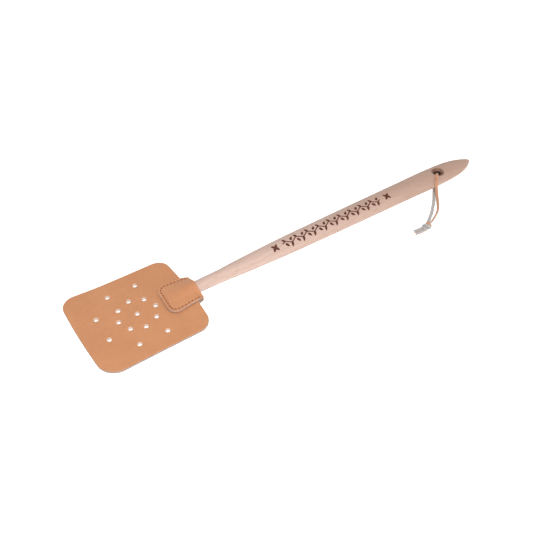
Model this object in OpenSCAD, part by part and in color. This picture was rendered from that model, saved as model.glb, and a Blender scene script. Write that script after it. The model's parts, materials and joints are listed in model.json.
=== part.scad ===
// Fly swatter: a perforated leather blade, sewn between two leather patches that also wrap
// the slotted end of a carved wooden handle, with a knotted leather lace to hang it by.
// It lies on a table: +X runs from the blade to the handle's tip and +Z is up.

/* [Overall] */
// Length from the blade's front edge to the handle's tip
swatter_l = 450; // [430:1:470]

/* [Blade] */
// Length of the blade along its middle
blade_l = 106.3; // [100:0.1:108]
// Width of the blade at its front corners
blade_front_w = 97; // [85:1:110]
// Width of the blade at its rear corners
blade_rear_w = 94; // [85:1:110]
// Thickness of the blade's leather
blade_t = 2.4; // [2:0.1:3]
// Radius of the blade's corners
blade_r = 12.5; // [8:0.5:16]
// How far the front edge bows out in its middle
front_bow = 1.5; // [0:0.1:3]
// How far the rear edge bows out in its middle
rear_bow = 2.7; // [0:0.1:4]
// How far in front of the patches the blade bends
bend_gap = 1.2; // [1:0.1:3]

/* [Air holes] */
// Diameter of each punched hole
air_hole_d = 4.5; // [3:0.1:5]
// Distance of the middle hole from the front edge
air_hole_x = 53.4; // [48:0.1:56]
// Radius of the inner ring of holes, and half the radius of the outer one
air_ring_r = 17.3; // [14:0.1:18]

/* [Patches] */
// Distance of the patches' front edge from the blade's front edge
patch_x = 79; // [77:0.5:80]
// Distance of the patches' rear edge from the blade's front edge
patch_rear_x = 112.5; // [111:0.5:114]
// Width of each patch, across its front
patch_w = 36; // [34:1:40]
// Width of each patch at its rear edge
patch_rear_w = 32; // [31:0.5:36]
// Thickness of the patches' leather
patch_t = 2.4; // [2:0.1:3]
// Radius of the patches' front corners
patch_r = 8.5; // [7:0.5:10]

/* [Seam] */
// Distance of the seam from the patches' edge
seam_inset = 2.6; // [2.4:0.1:3]
// Length of one stitch
stitch_l = 3.5; // [3:0.1:5]
// Diameter of the waxed thread
thread_d = 0.9; // [0.6:0.1:1]

/* [Handle] */
// Diameter of the round neck
neck_d = 12; // [11:0.5:12.5]
// Width of the grip in its middle
grip_w = 22.4; // [20:0.2:24]
// Thickness of the grip
grip_t = 15.2; // [15.2:0.2:16]
// Width of the flared end, at the hanging hole
flare_w = 25.4; // [24:0.2:27]
// Thickness of the flared end, at the hanging hole
flare_t = 10; // [9.8:0.1:10.2]

/* [Hanging hole] */
// Distance of the hanging hole from the tip
hole_from_tip = 46; // [44:1:48]
// Diameter of the hanging hole
hole_d = 6.5; // [6.5:0.1:7]
// Diameter of the burnt countersink on each face
sink_d = 12; // [11:0.5:12]

/* [Lace] */
// Width of the flat lace
lace_w = 3.2; // [2.8:0.1:3.4]
// Thickness of the lace
lace_t = 1.8; // [1.6:0.1:1.8]
// Diameter of the knot
knot_d = 8.6; // [8:0.1:9]
// Height of the knot
knot_h = 5.6; // [5:0.1:6]

/* [Hidden] */

// Every module below draws in the bench frame: X from the blade's front edge, Z from the
// handle's axis, which is also the blade's middle. place() then sets it on the table.
glue_gap = 0.1;
axis_h = grip_t / 2;
bend_x = patch_x - bend_gap;
root_x = bend_x + 1;

// The tenon: the handle's end, tapered to a wedge under the patches, with a saw kerf
tenon_x = patch_x + 5;
tenon_w = 10;
tenon_t = 4;
shoulder_x = 112;
shoulder_w = 11.8;
shoulder_t = grip_t - 2 * patch_t - 2 * glue_gap;
kerf_l = blade_l + 1 - tenon_x;
tip_x = swatter_l;
hole_x = swatter_l - hole_from_tip;

// Where the patches come down behind the blade's rear edge and meet each other
patch_drop_x = blade_l + 0.3;
patch_meet_x = patch_drop_x + 3.8;
bulge_half_w = 14;

leather = [0.81, 0.57, 0.42];
patch_leather = [0.82, 0.58, 0.43];
thread_brown = [0.36, 0.2, 0.12];
beech = [0.86, 0.72, 0.64];
lace_tan = [0.8, 0.56, 0.4];

// Handle sections, each [distance from the front edge, half width, half thickness]
handle_sections = [
    [tenon_x, tenon_w / 2, tenon_t / 2],
    [(tenon_x + shoulder_x) / 2, (tenon_w + shoulder_w) / 4, (tenon_t + shoulder_t) / 4],
    [shoulder_x, shoulder_w / 2, shoulder_t / 2],
    [121, neck_d / 2 - 0.1, neck_d / 2 - 0.2],
    [130, neck_d / 2, neck_d / 2],
    [142, neck_d / 2 + 0.3, neck_d / 2 + 0.2],
    [160, neck_d / 2 + 1.6, neck_d / 2 + 0.8],
    [185, neck_d / 2 + 2.8, grip_t / 2 - 0.4],
    [212, grip_w / 2 - 1.3, grip_t / 2 - 0.1],
    [245, grip_w / 2 - 0.7, grip_t / 2],
    [300, grip_w / 2, grip_t / 2],
    [340, grip_w / 2 + 0.4, grip_t / 2 - 0.2],
    [366, flare_w / 2 - 0.5, flare_t / 2 + 1.6],
    [386, flare_w / 2 + 0.1, flare_t / 2 + 0.6],
    [hole_x, flare_w / 2 - 0.1, flare_t / 2],
    [tip_x - 32, flare_w / 2 - 0.7, flare_t / 2 - 0.5],
    [tip_x - 20, flare_w / 2 - 2.4, flare_t / 2 - 1],
    [tip_x - 12, flare_w / 2 - 4.8, flare_t / 2 - 1.5],
    [tip_x - 6, flare_w / 2 - 7.7, flare_t / 2 - 2.1],
    [tip_x - 2, flare_w / 2 - 10.5, flare_t / 2 - 2.8],
    [tip_x, 0.4, 0.8]
];
section_sides = 28;

// The lace's two strands, from the middle of the hanging hole to the knot, measured from the
// hole's centre: one comes out on top and arches down, the other runs under the handle
upper_route = [
    [1, 0.9, 0], [0.9, 0.8, 1.7], [0.3, 0.3, 3.6], [-0.7, -0.7, 5.3], [-2.2, -2, 6.5],
    [-4, -3.7, 7], [-6, -5.5, 7], [-8, -7.5, 6.5], [-10.2, -9.5, 5.8], [-12.4, -11.6, 4.8],
    [-14.4, -13.9, 3.4], [-16.3, -16.3, 1.6], [-18.1, -18.7, -0.4], [-19.8, -21.2, -2.2],
    [-22, -24.6, -4], [-25, -28.8, -5.4], [-28.6, -33.5, -6.3], [-32.8, -37.7, -6.6],
    [-37, -40.9, -6.6], [-41.8, -44, -6.4], [-46.8, -46.6, -5.7], [-51.4, -48.4, -4.8],
    [-54, -49.3, -4.7]
];
lower_route = [
    [1, 0.9, 0], [0.9, 0.8, -1.7], [0.3, 0.3, -3.6], [-0.8, -0.6, -5.2], [-2.3, -1.9, -6.2],
    [-4.1, -3.5, -6.6], [-6.1, -5.2, -6.6], [-12, -10.3, -6.6], [-18, -16.3, -6.6],
    [-24, -22.6, -6.6], [-28.6, -27.2, -6.6], [-34.5, -32.7, -6.6], [-40.3, -37.4, -6.6],
    [-46, -41.7, -6.6], [-51, -45.2, -6.5], [-54, -47.4, -6.4]
];
knot_at = [-56.6, -50.2];
tail_back_end = [-70.7, -46.8];
tail_front_end = [-71.6, -50.6];
tail_spread = 1.7;
tail_slant = 1;
lace_corner = 0.5;
lace_section = [
    [-lace_w / 2, -lace_t / 2 + lace_corner], [-lace_w / 2 + lace_corner, -lace_t / 2],
    [lace_w / 2 - lace_corner, -lace_t / 2], [lace_w / 2, -lace_t / 2 + lace_corner],
    [lace_w / 2, lace_t / 2 - lace_corner], [lace_w / 2 - lace_corner, lace_t / 2],
    [-lace_w / 2 + lace_corner, lace_t / 2], [-lace_w / 2, lace_t / 2 - lace_corner]
];

// ---- Shared functions and modules ----

// How far v is from a to b, from 0 to 1
function share(v, a, b) = min(1, max(0, (v - a) / (b - a)));

function mix(a, b, s) = a + (b - a) * s;

function unit(v) = v / norm(v);

// A point at s, from 0 to 1, on a smooth curve from b to c that also heeds a and d
function smooth_between(a, b, c, d, s) =
    b + ((c - a) * s + (2 * a - 5 * b + 4 * c - d) * s * s + (3 * b - a - 3 * c + d) * s * s * s) / 2;

// The list with one smooth point added in the middle of each gap
function refined(list) = [
    for (i = [0 : len(list) - 1])
        for (s = i < len(list) - 1 ? [0, 0.5] : [0])
            smooth_between(
                list[max(i - 1, 0)], list[i], list[min(i + 1, len(list) - 1)],
                list[min(i + 2, len(list) - 1)], s)
];

// A quarter circle about centre, turning left from the angle start
function quarter(centre, r, start) =
    [for (i = [0 : 8]) centre + r * [cos(start + i * 11.25), sin(start + i * 11.25)]];

// The points between a and b that part the line into eighths
function between(a, b) = [for (i = [1 : 7]) mix(a, b, i / 8)];

// Joins rings of points, all with the same even number of corners, into one closed skin,
// whose two ends are strips across the first and the last ring
module loft(rings) {
    sides = len(rings[0]);
    last = len(rings) - 1;
    walls = [
        for (i = [0 : last - 1])
            for (j = [0 : sides - 1])
                let (k = (j + 1) % sides)
                    for (half = [0, 1])
                        half == 0
                            ? [i * sides + j, i * sides + k, (i + 1) * sides + k]
                            : [i * sides + j, (i + 1) * sides + k, (i + 1) * sides + j]
    ];
    ends = [
        for (j = [0 : sides / 2 - 2])
            let (strip = [j, j + 1, sides - 2 - j, sides - 1 - j])
                for (end = [0, 1])
                    end == 0
                        ? [strip[3], strip[2], strip[1], strip[0]]
                        : [for (corner = strip) last * sides + corner]
    ];
    polyhedron(points = [for (ring = rings) for (p = ring) p], faces = concat(walls, ends));
}

module place() {
    translate([-swatter_l / 2, 0, axis_h]) children();
}

// ---- Handle ----

function handle_ring(s) = [
    for (i = [0 : section_sides - 1])
        let (turn = -360 * i / section_sides)
            [s.x, s.y * cos(turn), s.z * sin(turn)]
];

module kerf() {
    height = blade_t;
    translate([tenon_x - 1, -neck_d, -height / 2]) cube([kerf_l + 1, 2 * neck_d, height]);
}

module hanging_hole() {
    depth = (sink_d - hole_d) / 2;
    translate([hole_x, 0, 0]) {
        cylinder(d = hole_d, h = grip_t + 2, center = true, $fn = 48);
        for (face = [0, 1])
            mirror([0, 0, face])
                translate([0, 0, flare_t / 2 - depth])
                    cylinder(r1 = hole_d / 2, r2 = hole_d / 2 + 2 * depth, h = 2 * depth, $fn = 48);
    }
}

module handle() {
    color(beech)
        place()
            difference() {
                loft([for (s = refined(handle_sections)) handle_ring(s)]);
                kerf();
                hanging_hole();
            }
}

// ---- Blade ----

// Narrows the outline to the rear and bows its two ends outward
function blade_warp(p) =
    let (
        along = share(p.x, front_bow, blade_l - rear_bow),
        across = 2 * p.y / blade_front_w
    )
    [
        p.x + mix(-front_bow, rear_bow, along) * (1 - across * across),
        p.y * mix(1, blade_rear_w / blade_front_w, along)
    ];

function blade_outline() =
    let (
        x1 = front_bow,
        x2 = blade_l - rear_bow,
        y = blade_front_w / 2,
        r = blade_r
    )
    [
        for (
            p = concat(
                quarter([x2 - r, y - r], r, 0),
                quarter([x1 + r, y - r], r, 90),
                between([x1, y - r], [x1, r - y]),
                quarter([x1 + r, r - y], r, 180),
                quarter([x2 - r, r - y], r, 270),
                between([x2, r - y], [x2, y - r])
            )
        )
            blade_warp(p)
    ];

module blade_between(x1, x2) {
    intersection() {
        linear_extrude(height = blade_t, center = true) polygon(blade_outline());
        translate([x1, -blade_front_w, -blade_t]) cube([x2 - x1, 2 * blade_front_w, 2 * blade_t]);
    }
}

module air_hole(r, turn) {
    translate([air_hole_x + r * cos(turn), r * sin(turn), 0])
        cylinder(d = air_hole_d, h = 2 * blade_t, center = true, $fn = 32);
}

// One hole in the middle, eight round it and six more, left out next to the patches
module air_holes() {
    air_hole(0, 0);
    for (i = [0 : 7]) air_hole(air_ring_r, 45 * i);
    for (i = [1 : 6]) air_hole(2 * air_ring_r, 45 * i + 22.5);
}

module blade_flap() {
    color(leather)
        place()
            difference() {
                blade_between(-1, bend_x);
                air_holes();
            }
}

module blade_root() {
    color(leather) place() blade_between(root_x, blade_l + 1);
}

// ---- Patches ----

// Height of a patch's inner face: flat on the blade, arched over the tenon, and brought
// down to the middle behind the blade
function patch_inner(x, y) =
    let (
        flat = mix(blade_t / 2, glue_gap / 2, share(x, patch_drop_x, patch_meet_x)),
        wedge = mix(tenon_t, shoulder_t, share(x, tenon_x, shoulder_x)) / 2 + glue_gap,
        crest = mix(flat, wedge, share(x, patch_x + 1, tenon_x)),
        arch = abs(y) < bulge_half_w ? (1 + cos(180 * y / bulge_half_w)) / 2 : 0
    )
    mix(flat, crest, arch);

// How much narrower the patch is at x than across its front
function patch_narrowing(x) =
    mix(1, patch_rear_w / patch_w, share(x, patch_x + patch_r, patch_rear_x));

// Half the patch's width at x, where its front corners are round
function patch_half_w(x) =
    let (in_corner = max(0, patch_r - (x - patch_x)))
    (patch_w / 2 - patch_r + sqrt(patch_r * patch_r - in_corner * in_corner))
        * patch_narrowing(x);

patch_columns = concat(
    [for (i = [0 : 4]) patch_x + patch_r * (1 - cos(18 * i))],
    [for (i = [0 : 4]) mix(patch_x + patch_r, patch_drop_x, i / 4)],
    [patch_drop_x + 1.9, patch_meet_x, patch_rear_x]
);
bulge_rows = 16;

// Across a patch the points lie over the bulge, with one more on each edge
function patch_ys(x) =
    let (
        edge = patch_half_w(x),
        bulge = min(bulge_half_w, edge - 0.5)
    )
    concat([-edge], [for (i = [0 : bulge_rows]) bulge * (2 * i / bulge_rows - 1)], [edge]);

function patch_ring(x) =
    let (
        ys = patch_ys(x),
        last = len(ys) - 1
    )
    concat(
        [for (y = ys) [x, y, patch_inner(x, y) + patch_t]],
        [for (i = [0 : last]) [x, ys[last - i], patch_inner(x, ys[last - i])]]
    );

module patch() {
    loft([for (x = patch_columns) patch_ring(x)]);
}

module top_patch() {
    color(patch_leather) place() patch();
}

module bottom_patch() {
    color(patch_leather) place() mirror([0, 0, 1]) patch();
}

// ---- Seam ----

seam_r = patch_r - seam_inset;
seam_front = patch_w / 2 - patch_r;
seam_arc = PI / 2 * seam_r;
seam_side = patch_rear_x - seam_inset - patch_x - patch_r;
seam_half_l = seam_front + seam_arc + seam_side;
stitches = round(2 * seam_half_l / stitch_l);

// The seam's line in plan, s millimetres from the middle of the patch's front edge
function seam_plan(s) =
    let (
        d = abs(s),
        side = s < 0 ? -1 : 1,
        turn = 90 * share(d, seam_front, seam_front + seam_arc),
        x = patch_x + patch_r - seam_r * cos(turn) + max(0, d - seam_front - seam_arc)
    )
    [x, side * (min(d, seam_front) + seam_r * sin(turn)) * patch_narrowing(x)];

// Stitch hole i, on the top patch's outer face
function stitch_hole(i) =
    let (p = seam_plan(mix(-seam_half_l, seam_half_l, i / stitches)))
    [p.x, p.y, patch_inner(p.x, p.y) + patch_t + thread_d / 6];

module rod(a, b) {
    d = b - a;
    translate(a)
        rotate([0, acos(d.z / norm(d)), atan2(d.y, d.x)])
            cylinder(d = thread_d, h = norm(d), $fn = 8);
}

// One thread of the lockstitch: a stitch from each hole to the next, and down to the middle
module thread() {
    for (i = [0 : stitches - 1]) rod(stitch_hole(i), stitch_hole(i + 1));
    for (i = [0 : stitches]) rod([stitch_hole(i).x, stitch_hole(i).y, 0], stitch_hole(i));
}

module needle_thread() {
    color(thread_brown) place() thread();
}

module bobbin_thread() {
    color(thread_brown) place() mirror([0, 0, 1]) thread();
}

// ---- Lace ----

function lace_ring(route, i) =
    let (
        ahead = route[min(i + 1, len(route) - 1)],
        behind = route[max(i - 1, 0)],
        along = unit(ahead - behind),
        side = unit([-along.y, along.x, 0]),
        up = cross(along, side)
    )
    [for (corner = lace_section) route[i] + corner.x * side + corner.y * up];

module from_hole() {
    place() translate([hole_x, 0, 0]) children();
}

module strand(route) {
    loft([for (i = [0 : len(route) - 1]) lace_ring(route, i)]);
}

module lace_upper() {
    color(lace_tan) from_hole() strand(upper_route);
}

module lace_lower() {
    color(lace_tan) from_hole() strand(lower_route);
}

module lace_knot() {
    color(lace_tan)
        from_hole()
            translate([knot_at.x, knot_at.y, knot_h / 2 - axis_h + 0.1])
                rotate_extrude($fn = 48)
                    polygon([for (i = [0 : 12]) [knot_d * cos(15 * i - 90), knot_h * sin(15 * i - 90)] / 2]);
}

// A loose end of the lace on the table, from the knot to its slanting cut
module tail(side, end) {
    start = knot_at + [-knot_d / 4, side * tail_spread];
    run = end - start;
    from_hole()
        translate([start.x, start.y, 0.1 - axis_h])
            rotate([0, 0, atan2(run.y, run.x)])
                linear_extrude(height = lace_t)
                    polygon([
                        [0, -lace_w / 2],
                        [norm(run) - tail_slant, -lace_w / 2],
                        [norm(run) + tail_slant, lace_w / 2],
                        [0, lace_w / 2]
                    ]);
}

module lace_tail_back() {
    color(lace_tan) tail(1, tail_back_end);
}

module lace_tail_front() {
    color(lace_tan) tail(-1, tail_front_end);
}

handle();
blade_flap();
blade_root();
top_patch();
bottom_patch();
needle_thread();
bobbin_thread();
lace_upper();
lace_lower();
lace_knot();
lace_tail_back();
lace_tail_front();
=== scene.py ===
"""Looks of a leather fly swatter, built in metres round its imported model.

The blade, the patches, the handle and the lace each have a class that holds their sizes and
builds and dresses their meshes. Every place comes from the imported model's boxes and joints.
"""

from __future__ import annotations

import json
import logging
import math
from dataclasses import dataclass
from enum import Enum
from typing import Callable, Sequence

import bmesh
import bpy
from mathutils import Matrix, Quaternion, Vector

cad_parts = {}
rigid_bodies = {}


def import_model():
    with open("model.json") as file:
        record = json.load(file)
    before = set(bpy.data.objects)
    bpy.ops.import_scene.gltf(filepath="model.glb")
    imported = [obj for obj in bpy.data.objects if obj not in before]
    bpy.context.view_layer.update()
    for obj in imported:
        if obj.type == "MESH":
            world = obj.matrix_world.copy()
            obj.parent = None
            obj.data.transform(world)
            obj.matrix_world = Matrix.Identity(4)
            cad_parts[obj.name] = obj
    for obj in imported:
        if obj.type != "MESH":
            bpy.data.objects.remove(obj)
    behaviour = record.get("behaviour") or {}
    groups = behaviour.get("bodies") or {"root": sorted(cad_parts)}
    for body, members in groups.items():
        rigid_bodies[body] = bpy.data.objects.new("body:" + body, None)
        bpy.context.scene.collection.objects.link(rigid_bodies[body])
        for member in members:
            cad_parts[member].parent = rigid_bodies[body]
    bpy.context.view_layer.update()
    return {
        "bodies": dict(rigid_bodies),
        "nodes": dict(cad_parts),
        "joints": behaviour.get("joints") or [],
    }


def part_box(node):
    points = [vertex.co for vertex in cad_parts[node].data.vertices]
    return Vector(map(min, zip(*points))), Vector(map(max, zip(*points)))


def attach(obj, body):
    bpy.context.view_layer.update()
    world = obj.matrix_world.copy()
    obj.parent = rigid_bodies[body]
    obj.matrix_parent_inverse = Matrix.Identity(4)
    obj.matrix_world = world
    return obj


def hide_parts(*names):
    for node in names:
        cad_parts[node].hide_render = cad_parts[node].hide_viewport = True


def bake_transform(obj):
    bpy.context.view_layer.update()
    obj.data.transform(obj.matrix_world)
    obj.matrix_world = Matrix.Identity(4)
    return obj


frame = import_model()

LOG = logging.getLogger("swatter")
Triple = tuple[float, float, float]  # a colour, or a place or sizes along X, Y and Z
Pair = tuple[float, float]
Piece = bpy.types.Object
Mesh = bpy.types.Mesh
Material = bpy.types.Material
Socket = bpy.types.NodeSocket
MM = 0.001
EDGE_STEPS = (0, 0.07, 0.3, 0.6)  # where a sheet's rounded edge has its points, as shares of its radius
UPRIGHT = 0.75  # faces whose normal rises less than this are edges


class Body(Enum):
    """The rigid bodies that the pieces ride on."""

    HANDLE = "handle"
    BLADE = "blade"
    LACE = "lace"


class Slot(Enum):
    """The record's material slots."""

    WOOD = "handle_wood"
    BLADE = "blade_leather"
    PATCH = "patch_leather"
    THREAD = "seam_thread"
    LACE = "lace_leather"


# ---- Shader and geometry trees ----


class Value:
    """A shader socket that takes part in sums by the usual operators."""

    def __init__(self, paint: Paint, socket: Socket) -> None:
        """Wraps a socket of a paint's tree."""
        self.paint = paint
        self.socket = socket

    def _math(self, operation: str, *terms: Value | float) -> Value:
        """Adds a Math node of the terms."""
        return self.paint.node("ShaderNodeMath", {"operation": operation}, dict(enumerate(terms)))

    def __add__(self, other: Value | float) -> Value:
        """self + other."""
        return self._math("ADD", self, other)

    def __sub__(self, other: Value | float) -> Value:
        """self - other."""
        return self._math("SUBTRACT", self, other)

    def __mul__(self, other: Value | float) -> Value:
        """self * other."""
        return self._math("MULTIPLY", self, other)

    def __truediv__(self, other: Value | float) -> Value:
        """self / other."""
        return self._math("DIVIDE", self, other)

    def __rsub__(self, other: float) -> Value:
        """other - self."""
        return self._math("SUBTRACT", other, self)

    def __pow__(self, other: Value | float) -> Value:
        """self to a power."""
        return self._math("POWER", self, other)

    def __abs__(self) -> Value:
        """The size of self."""
        return self._math("ABSOLUTE", self)

    __radd__ = __add__
    __rmul__ = __mul__

    def step(self, start: float, end: float) -> Value:
        """Rises smoothly from 0 to 1 as self goes from start to end.

        Args:
            start: Where the result is 0.
            end: Where the result is 1, which may be below start.

        Returns:
            The eased value.
        """
        settings = {"interpolation_type": "SMOOTHSTEP"}
        return self.paint.node("ShaderNodeMapRange", settings, {0: self, 1: start, 2: end})


class Paint:
    """A material under construction: one Principled shader and what feeds it."""

    def __init__(self, name: str, **constants: float) -> None:
        """Starts a material.

        Args:
            name: The material's name.
            constants: Values of the shader's sockets, with _ for a space.
        """
        self.material = bpy.data.materials.new(name)
        self.material.use_nodes = True
        self.tree = self.material.node_tree
        self.shader = self.tree.nodes["Principled BSDF"]
        for key, number in constants.items():
            self.shader.inputs[key.replace("_", " ")].default_value = number
        coordinates = self.tree.nodes.new("ShaderNodeTexCoord")
        self.place = Value(self, coordinates.outputs["Object"])

    def node(
        self, kind: str, settings: dict[str, object], sockets: dict[object, object], out: object = 0
    ) -> Value:
        """Adds a node.

        Args:
            kind: The node's type.
            settings: Its properties, and stops for a ramp's positions and colours.
            sockets: Values or links of its inputs, by name or place.
            out: The name or place of the output to return.

        Returns:
            The chosen output.
        """
        made = self.tree.nodes.new(kind)
        for key, setting in settings.items():
            if key == "stops":
                ramp = made.color_ramp
                for i, (position, colour) in enumerate(setting):
                    stop = ramp.elements[i] if i < 2 else ramp.elements.new(position)
                    stop.position = position
                    stop.color = (*colour, 1)
            else:
                setattr(made, key, setting)
        for key, value in sockets.items():
            if isinstance(value, Value):
                self.tree.links.new(value.socket, made.inputs[key])
            else:
                made.inputs[key].default_value = value
        return Value(self, made.outputs[out])

    def attribute(self, name: str) -> Value:
        """The number that the mesh holds under a name."""
        return self.node("ShaderNodeAttribute", {"attribute_name": name}, {}, "Fac")

    def axes(self) -> tuple[Value, Value, Value]:
        """X, Y and Z of the point in metres."""
        split = self.node("ShaderNodeSeparateXYZ", {}, {0: self.place})
        outputs = split.socket.node.outputs
        return tuple(Value(self, outputs[i]) for i in range(3))

    def stretched(self, x: float, y: float, z: float) -> Value:
        """The point's place with each axis scaled.

        Args:
            x: Factor along X, in waves a metre for a noise of scale 1.
            y: Factor along Y.
            z: Factor along Z.

        Returns:
            The scaled vector.
        """
        return self.node("ShaderNodeMapping", {}, {"Vector": self.place, "Scale": (x, y, z)})

    def noise(self, where: Value, scale: float = 1, detail: float = 3, rough: float = 0.5) -> Value:
        """Cloudy noise from 0 to 1.

        Args:
            where: The vector that it reads.
            scale: Clouds to one unit of the vector.
            detail: How many finer layers it has.
            rough: How strong the finer layers are.

        Returns:
            The noise.
        """
        sockets = {"Vector": where, "Scale": scale, "Detail": detail, "Roughness": rough}
        return self.node("ShaderNodeTexNoise", {}, sockets)

    def cells(self, where: Value, scale: float, feature: str = "F1") -> Value:
        """Distance to the nearest of scattered points, or to their borders."""
        sockets = {"Vector": where, "Scale": scale}
        return self.node("ShaderNodeTexVoronoi", {"feature": feature}, sockets, "Distance")

    def mix(self, factor: Value | float, a: object, b: object) -> Value:
        """Mixes two colours.

        Args:
            factor: 0 for a and 1 for b.
            a: A colour or a link.
            b: A colour or a link.

        Returns:
            The mixed colour.
        """
        a, b = (c if isinstance(c, Value) else (*c, 1) for c in (a, b))
        return self.node("ShaderNodeMix", {"data_type": "RGBA"}, {0: factor, 6: a, 7: b}, 2)

    def feed(self, socket: str, value: Value) -> None:
        """Links a value to one of the shader's sockets."""
        self.tree.links.new(value.socket, self.shader.inputs[socket])

    def relief(self, height: Value, depth: float) -> None:
        """Gives the surface a relief.

        Args:
            height: From 0 to 1.
            depth: What 1 stands for, in metres.
        """
        sockets = {"Height": height, "Distance": depth, "Strength": 1.0}
        self.feed("Normal", self.node("ShaderNodeBump", {}, sockets))


class Pattern:
    """A Geometry Nodes tree under construction, with named inputs."""

    def __init__(self, name: str) -> None:
        """Starts a tree that takes and gives geometry."""
        self.tree = bpy.data.node_groups.new(name, "GeometryNodeTree")
        self.tree.interface.new_socket("Geometry", in_out="INPUT", socket_type="NodeSocketGeometry")
        self.tree.interface.new_socket("Geometry", in_out="OUTPUT", socket_type="NodeSocketGeometry")
        self.source = self.tree.nodes.new("NodeGroupInput")
        self.identifiers: dict[str, str] = {}

    def input(self, name: str, kind: str) -> Socket:
        """Adds a named input.

        Args:
            name: What the input is called.
            kind: The last word of its socket's type, such as Float.

        Returns:
            The socket that carries it inside the tree.
        """
        made = self.tree.interface.new_socket(name, in_out="INPUT", socket_type="NodeSocket" + kind)
        self.identifiers[name] = made.identifier
        return self.source.outputs[name]

    def node(
        self, kind: str, settings: dict[str, object], sockets: dict[object, object], out: object = 0
    ) -> Socket:
        """Adds a node and returns one of its outputs, as Paint.node does."""
        made = self.tree.nodes.new(kind)
        for key, setting in settings.items():
            setattr(made, key, setting)
        for key, value in sockets.items():
            for link in value if isinstance(value, list) else [value]:
                if isinstance(link, Socket):
                    self.tree.links.new(link, made.inputs[key])
                else:
                    made.inputs[key].default_value = link
        return made.outputs[out]

    def finish(self, geometry: Socket, material: Socket) -> None:
        """Ends the tree in Realize Instances and Set Material."""
        real = self.node("GeometryNodeRealizeInstances", {}, {0: geometry})
        dressed = self.node("GeometryNodeSetMaterial", {}, {"Geometry": real, "Material": material})
        self.tree.links.new(dressed, self.tree.nodes.new("NodeGroupOutput").inputs[0])

    def grown(self, host: Piece, name: str, **inputs: object) -> Piece:
        """Runs the tree on an object and keeps the result as a plain mesh.

        Args:
            host: The object that the tree starts from, which is removed.
            name: The name of the new piece.
            inputs: Values of the named inputs, with _ for a space.

        Returns:
            The new piece.
        """
        modifier = host.modifiers.new(self.tree.name, "NODES")
        modifier.node_group = self.tree
        for key, value in inputs.items():
            modifier[self.identifiers[key.replace("_", " ")]] = value
        host.update_tag()
        graph = bpy.context.evaluated_depsgraph_get()
        graph.update()
        mesh = bpy.data.meshes.new_from_object(host.evaluated_get(graph))
        host.modifiers.remove(modifier)
        bpy.data.objects.remove(host)
        mesh.name = name
        return linked(name, mesh)


# ---- Mesh helpers ----


def linked(name: str, mesh: Mesh) -> Piece:
    """A new object of a mesh, in the scene."""
    made = bpy.data.objects.new(name, mesh)
    bpy.context.scene.collection.objects.link(made)
    return made


def plain_mesh(name: str, points: Sequence[Vector], faces: Sequence[Sequence[int]]) -> Mesh:
    """A closed mesh with its faces turned outward."""
    mesh = bpy.data.meshes.new(name)
    mesh.from_pydata([tuple(p) for p in points], [], faces)
    shell = bmesh.new()
    shell.from_mesh(mesh)
    bmesh.ops.remove_doubles(shell, verts=shell.verts, dist=1e-7)
    bmesh.ops.recalc_face_normals(shell, faces=shell.faces)
    shell.to_mesh(mesh)
    shell.free()
    return mesh


def loft(name: str, rings: Sequence[Sequence[Vector]]) -> Piece:
    """Joins rings with the same even number of points into a closed piece.

    Args:
        name: The piece's name.
        rings: The rings in order. The ends are closed by strips across the first and the last.

    Returns:
        The new object.
    """
    sides, last = len(rings[0]), len(rings) - 1
    faces = [
        (i * sides + j, i * sides + (j + 1) % sides, (i + 1) * sides + (j + 1) % sides, (i + 1) * sides + j)
        for i in range(last)
        for j in range(sides)
    ]
    for end in (0, last * sides):
        for j in range(sides // 2 - 1):
            faces.append((end + j, end + j + 1, end + sides - 2 - j, end + sides - 1 - j))
    return linked(name, plain_mesh(name, [p for ring in rings for p in ring], faces))


def smoothed(piece: Piece, angle: float = 35) -> Piece:
    """Shades a piece smoothly except where it turns by more than an angle in degrees."""
    piece.data.shade_smooth()
    piece.data.set_sharp_from_angle(angle=math.radians(angle))
    return piece


def face_values(mesh: Mesh, name: str, rule: Callable[[bpy.types.MeshPolygon], float]) -> None:
    """Stores a number on every face under a name."""
    layer = mesh.attributes.new(name, "FLOAT", "FACE")
    layer.data.foreach_set("value", [rule(p) for p in mesh.polygons])


def scattered(
    name: str,
    unit: Piece,
    places: Sequence[tuple[Sequence[float], Sequence[float]]],
    material: Material,
) -> Piece:
    """Lays copies of a piece at places, by a tree with named inputs.

    Args:
        name: The new piece's name.
        unit: The piece to copy, which is removed.
        places: Where each copy's origin goes, and its turns about X, Y and Z.
        material: What the copies are made of.

    Returns:
        All the copies as one mesh.
    """
    mesh = bpy.data.meshes.new(name + "_places")
    mesh.from_pydata([spot for spot, _ in places], [], [])
    layer = mesh.attributes.new("turn", "FLOAT_VECTOR", "POINT")
    layer.data.foreach_set("vector", [float(number) for _, turn in places for number in turn])
    pattern = Pattern(name + "_pattern")
    piece, size = pattern.input("Piece", "Object"), pattern.input("Size", "Float")
    finish = pattern.input("Finish", "Material")
    turn = pattern.node("GeometryNodeInputNamedAttribute", {"data_type": "FLOAT_VECTOR"}, {"Name": "turn"})
    shape = pattern.node("GeometryNodeObjectInfo", {}, {"Object": piece}, "Geometry")
    spots = pattern.source.outputs["Geometry"]
    sockets = {"Points": spots, "Instance": shape, "Rotation": turn, "Scale": size}
    pattern.finish(pattern.node("GeometryNodeInstanceOnPoints", {}, sockets), finish)
    made = pattern.grown(linked(mesh.name, mesh), name, Piece=unit, Size=1.0, Finish=material)
    bpy.data.objects.remove(unit)
    return made


def tangent(line: Sequence[Vector], i: int) -> Vector:
    """The direction of a line at one of its points."""
    return (line[min(i + 1, len(line) - 1)] - line[max(i - 1, 0)]).normalized()


def share(v: float, a: float, b: float) -> float:
    """How far v is from a to b, from 0 to 1."""
    return min(1.0, max(0.0, (v - a) / (b - a)))


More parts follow.
